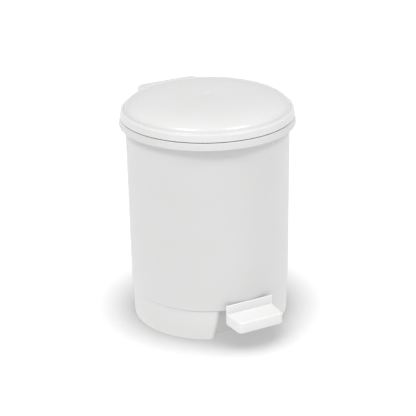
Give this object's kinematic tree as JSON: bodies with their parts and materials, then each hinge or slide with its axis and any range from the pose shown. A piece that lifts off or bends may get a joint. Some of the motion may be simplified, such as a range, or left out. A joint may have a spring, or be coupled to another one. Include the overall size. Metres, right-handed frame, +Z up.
{
  "type": "pedal trash can",
  "caption": "Round white plastic pedal bin with a hinged domed lid, a lift-out bucket on a wire bail, and a front pedal that opens the lid through a lever and rod.",
  "frame": {"origin": "on the bin's own axis, at the floor that the plinth's rim stands on", "axes": "+Z up; the pedal faces -Y and the lid's hinge is at +Y; X runs along the hinge pin"},
  "size_m": [0.203, 0.2301, 0.2668],
  "materials": {
    "white_shell": "satin-gloss moulded white polypropylene",
    "white_lid": "glossy moulded white polypropylene",
    "white_pedal": "satin moulded white polypropylene",
    "bucket_plastic": "fine-grained moulded white polypropylene",
    "soft_insert": "translucent soft plastic",
    "steel_wire": "drawn and zinc-plated steel wire",
    "zinc_screw": "bright zinc-plated steel"
  },
  "bodies": {
    "shell": {"outer_shell": "white_shell", "plinth_ring": "white_shell", "plinth_screws": "zinc_screw", "lower_rod_guide": "soft_insert", "upper_rod_guide": "soft_insert", "pedal_axle": "steel_wire", "axle_clips": "zinc_screw", "hinge_pin": "steel_wire", "hinge_pin_clips": "zinc_screw", "bucket": "bucket_plastic", "bucket_handle": "steel_wire"},
    "lid": {"lid": "white_lid", "lid_lever": "bucket_plastic", "lid_lever_screws": "zinc_screw", "lid_buffers": "soft_insert"},
    "pedal": {"pedal": "white_pedal", "pedal_lever": "bucket_plastic", "pedal_screws": "zinc_screw"},
    "rod": {"lift_rod": "steel_wire", "upper_rod_clip": "zinc_screw", "lower_rod_clip": "zinc_screw"}
  },
  "joints": [
    {"name": "lid_hinge", "type": "hinge", "parent": "shell", "child": "lid", "pos_m": [0, 0.0995, 0.2475], "axis": [-1, 0, 0], "range_deg": [0, 75]},
    {"name": "pedal_pivot", "type": "hinge", "parent": "shell", "child": "pedal", "pos_m": [0, -0.026, 0.02], "axis": [1, 0, 0], "range_deg": [0, 11.9]},
    {"name": "rod_lift", "type": "slide", "parent": "shell", "child": "rod", "axis": [0, 0, 1], "range_m": [0, 0.02304]}
  ],
  "couplings": [
    {"joint": "pedal_pivot", "follows": "lid_hinge", "ratio": 0.15855},
    {"joint": "rod_lift", "follows": "lid_hinge", "m_per_rad": 0.017586}
  ]
}
